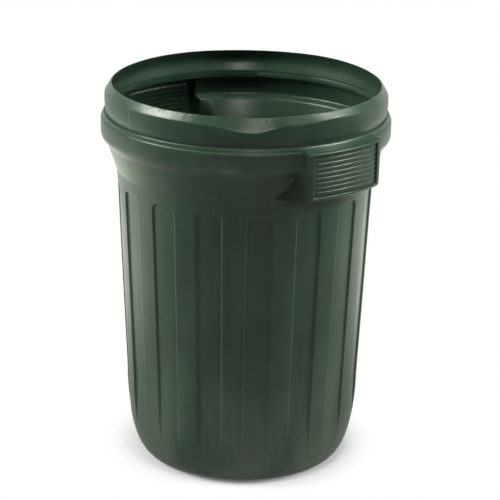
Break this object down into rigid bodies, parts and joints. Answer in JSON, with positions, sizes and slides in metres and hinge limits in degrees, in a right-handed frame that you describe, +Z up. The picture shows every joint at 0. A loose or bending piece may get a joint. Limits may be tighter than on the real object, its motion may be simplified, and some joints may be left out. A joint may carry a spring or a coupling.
{
  "type": "litter bin",
  "caption": "Round tapered plastic litter bin, open at the top, with sunk wall panels, a collar with ribbed hand grips on two sides and a soft rim band.",
  "frame": {"origin": "on the floor under the bin, on the bin's upright axis", "axes": "+Z up along the bin's axis, the two handle boxes on +X and -X"},
  "size_m": [0.5512, 0.52, 0.697],
  "materials": {
    "body_plastic": "dark green moulded polyethylene, satin, scuffed and dusty low down",
    "band_plastic": "dark green flexible polyethylene, satin, chalky scuffs on the lip",
    "grip_plastic": "dark green moulded polyethylene, satin, rubbed bright on the rib crests"
  },
  "bodies": {
    "root": {"bin_body": "body_plastic", "rim_band": "band_plastic", "grip_panel_right": "grip_plastic", "grip_panel_left": "grip_plastic"}
  },
  "joints": []
}
